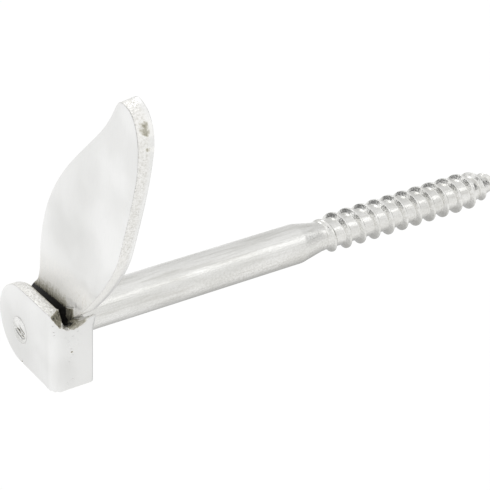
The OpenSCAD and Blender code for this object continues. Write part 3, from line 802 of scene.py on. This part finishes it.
view = {
    "place": (-170.2, -303.74, 220.17), "turn": (60.06512, -2.43086, -34.65424),
    "lens": 132.54, "sensor": 36.0, "clip": (10.0, 50000.0),
}
cameraData = bpy.data.cameras.new("camera")
cameraData.lens, cameraData.sensor_width = view["lens"], view["sensor"]
cameraData.clip_start, cameraData.clip_end = (v * mm for v in view["clip"])
camera = bpy.data.objects.new("camera", cameraData)
camera.location = [v * mm for v in view["place"]]
camera.rotation_euler = [radians(v) for v in view["turn"]]
bpy.context.scene.collection.objects.link(camera)
bpy.context.scene.camera = camera

# directions are about 1 long, and each Edge gives the cosines or heights over which something fades in
studio = {
    "floorZ": -60.0, "floorSize": 8000.0, "floor": "#f4f4f3",
    "floorSeen": 0.93,  # share of plain white, the rest keeps the shadow
    "floorWhite": 1.02,
    # floor as the metal sees it, by metres from its centre: a painted shadow behind the part, painted light,
    # then plain. A ramp's colours end at 1, so they are divided by the top level and multiplied by it again.
    "shadowCentre": (115.0, 45.0), "shadowStretch": 0.5, "floorReach": 0.7, "floorTop": 1.1,
    "floorLevels": [(0.0, 0.5), (0.03, 0.54), (0.055, 0.7), (0.08, 0.92), (0.1, 1.05), (0.13, 1.06),
                    (0.17, 1.03), (0.55, 1.0)],
    # room as the metal sees it
    "backLevel": 0.8, "frontLevel": 1.0, "towardFront": (-0.75, -0.5, 0.43), "frontEdge": (-0.5, 0.25),
    # dark card at the left and behind, darkest at its foot; its top slants along X and its side along X and Y
    "cardTop": -0.12, "cardRise": 0.78, "cardTopEdge": (0.02, -0.02),
    "cardSide": 0.35, "cardSideEdge": (0.03, 0.12),
    "cardFootEdge": (0.01, 0.05), "cardLevels": (0.03, 0.24), "cardFade": (0.03, 0.25),
    # lit window in the card, and a dark card beyond the point
    "windowToward": (-0.889, 0.255, 0.39), "windowEdge": (0.988, 0.993), "windowLevel": 1.3,
    "endToward": (0.98, -0.1, 0.17), "endEdge": (0.94, 0.96), "endLevel": 0.05,
    "ambient": 1.0,
}
# soft boxes: place, point that they look at, width and height, all in mm, and level
lamps = {
    "stripBox": ((386, -410, 438), (30, 0, 0), (900, 130), 0.5),
    "keyBox": ((-500, -300, 700), (20, -10, 10), (400, 400), 0.2),
    "backBox": ((80, 440, 560), (0, -28, 60), (330, 330), 1.4),
}


# 1 for a ray that metal or glass sends out, 0 for the others
def reflectedRay(tree, rays):
    glossy, glass = rays.outputs["Is Glossy Ray"], rays.outputs["Is Transmission Ray"]
    return node(tree, "Math", larger, {}, {0: glossy, 1: glass})


# matt paper, a pale grey that takes a soft shadow, mixed with plain white; metal sees painted shade and light
def floorPaper():
    material = bpy.data.materials.new("paleFloorPaper")
    material.use_nodes = True
    tree = material.node_tree
    shader = tree.nodes["Principled BSDF"]
    shader.inputs["Base Color"].default_value = linearColour(studio["floor"])
    shader.inputs["Roughness"].default_value = 0.9
    shader.inputs["Specular IOR Level"].default_value = 0.0
    rays = node(tree, "LightPath")
    place = node(tree, "TexCoord").outputs["Object"]
    top, reach = studio["floorTop"], studio["floorReach"]
    shadowPlace = node(tree, "Mapping", {"vector_type": "TEXTURE"}, {
        "Location": [v * mm for v in (*studio["shadowCentre"], studio["floorZ"])],
        "Scale": (1 / studio["shadowStretch"], 1, 1)}, {"Vector": place})
    away = node(tree, "VectorMath", {"operation": "LENGTH"}, {}, {0: shadowPlace})
    share = node(tree, "Math", {"operation": "DIVIDE"}, {1: reach}, {0: away})
    level = node(tree, "ValToRGB", {}, {}, {"Fac": share})
    level.color_ramp.interpolation = "EASE"
    table = [(metres / reach, [value / top] * 3 + [1.0]) for metres, value in studio["floorLevels"]]
    setStops(level.color_ramp, table)
    lift = node(tree, "Math", times, {1: top}, {0: level})
    bright = node(tree, "Mix", {}, {3: studio["floorWhite"]},
                  {"Factor": rays.outputs["Is Camera Ray"], 2: lift})
    seen = node(tree, "Math", larger, {}, {0: rays.outputs["Is Camera Ray"], 1: reflectedRay(tree, rays)})
    plain = node(tree, "Math", times, {1: studio["floorSeen"]}, {0: seen})
    white = node(tree, "Emission", {}, {}, {"Strength": bright})
    mix = node(tree, "MixShader", {}, {}, {0: plain, 1: shader, 2: white})
    tree.links.new(result(mix), tree.nodes["Material Output"].inputs["Surface"])
    return material


# one square under the part
def floorPiece():
    half = studio["floorSize"] / 2
    corners = [(x * half, y * half, studio["floorZ"]) for x, y in ((-1, -1), (1, -1), (1, 1), (-1, 1))]
    mesh = bpy.data.meshes.new("floor")
    mesh.from_pydata((np.array(corners) * mm).tolist(), [], [(0, 1, 2, 3)])
    mesh.materials.append(floorPaper())
    floor = bpy.data.objects.new("floor", mesh)
    bpy.context.scene.collection.objects.link(floor)


# soft box that looks at a point; its level is the brightness of its face: power = level times pi times area
def softLight(name, place, aim, size, level):
    data = bpy.data.lights.new(name, "AREA")
    data.shape, data.size, data.size_y = "RECTANGLE", size[0] * mm, size[1] * mm
    data.energy = level * pi * size[0] * size[1] * mm * mm
    lamp = bpy.data.objects.new(name, data)
    lamp.location = [v * mm for v in place]
    lamp.rotation_euler = (Vector(aim) - Vector(place)).to_track_quat("-Z", "Y").to_euler()
    bpy.context.scene.collection.objects.link(lamp)


# room: white to the camera, and to the metal a soft change from the back of the room to the front
def studioWorld():
    world = bpy.data.worlds.new("studioWorld")
    bpy.context.scene.world = world
    world.use_nodes = True
    tree = world.node_tree
    rays = node(tree, "LightPath")
    way = node(tree, "TexCoord").outputs["Generated"]
    alongX, alongY, up = node(tree, "SeparateXYZ", {}, {}, {"Vector": way}).outputs
    front = node(tree, "VectorMath", towards, {1: studio["towardFront"]}, {0: way})
    levels = fromTo(studio["frontEdge"], (studio["backLevel"], studio["frontLevel"]))
    room = node(tree, "MapRange", smooth, levels, {"Value": front})
    # the card stands on the horizon at the left and behind the part
    top = node(tree, "Math", timesPlus, {1: -studio["cardRise"], 2: studio["cardTop"]}, {0: alongX})
    above = node(tree, "Math", {"operation": "SUBTRACT"}, {}, {0: up, 1: top})
    low = node(tree, "MapRange", smooth, fromTo(studio["cardTopEdge"]), {"Value": above})
    behind = node(tree, "Math", timesPlus, {1: -studio["cardSide"]}, {0: alongX, 2: alongY})
    side = node(tree, "MapRange", smooth, fromTo(studio["cardSideEdge"]), {"Value": behind})
    foot = node(tree, "MapRange", smooth, fromTo(studio["cardFootEdge"]), {"Value": up})
    upright = node(tree, "Math", times, {}, {0: low, 1: foot})
    card = node(tree, "Math", times, {}, {0: upright, 1: side})
    shade = node(tree, "MapRange", {}, fromTo(studio["cardFade"], studio["cardLevels"]), {"Value": up})
    centred = node(tree, "VectorMath", towards, {1: studio["windowToward"]}, {0: way})
    window = node(tree, "MapRange", smooth, fromTo(studio["windowEdge"]), {"Value": centred})
    pane = node(tree, "Mix", {}, {3: studio["windowLevel"]}, {"Factor": window, 2: shade})
    carded = node(tree, "Mix", {}, {}, {"Factor": card, 2: room, 3: pane})
    beyond = node(tree, "VectorMath", towards, {1: studio["endToward"]}, {0: way})
    end = node(tree, "MapRange", smooth, fromTo(studio["endEdge"]), {"Value": beyond})
    ended = node(tree, "Mix", {}, {3: studio["endLevel"]}, {"Factor": end, 2: carded})
    metal = node(tree, "Mix", {}, {2: studio["ambient"]}, {"Factor": reflectedRay(tree, rays), 3: ended})
    level = node(tree, "Mix", {}, {3: 1.0}, {"Factor": rays.outputs["Is Camera Ray"], 2: metal})
    tree.links.new(result(level), tree.nodes["Background"].inputs["Strength"])
    tree.nodes["Background"].inputs["Color"].default_value = (1, 1, 1, 1)


floorPiece()
for name, (place, aim, size, level) in lamps.items():
    softLight(name, place, aim, size, level)
studioWorld()
bpy.context.scene.view_settings.view_transform = "Standard"
print("camera and light set")
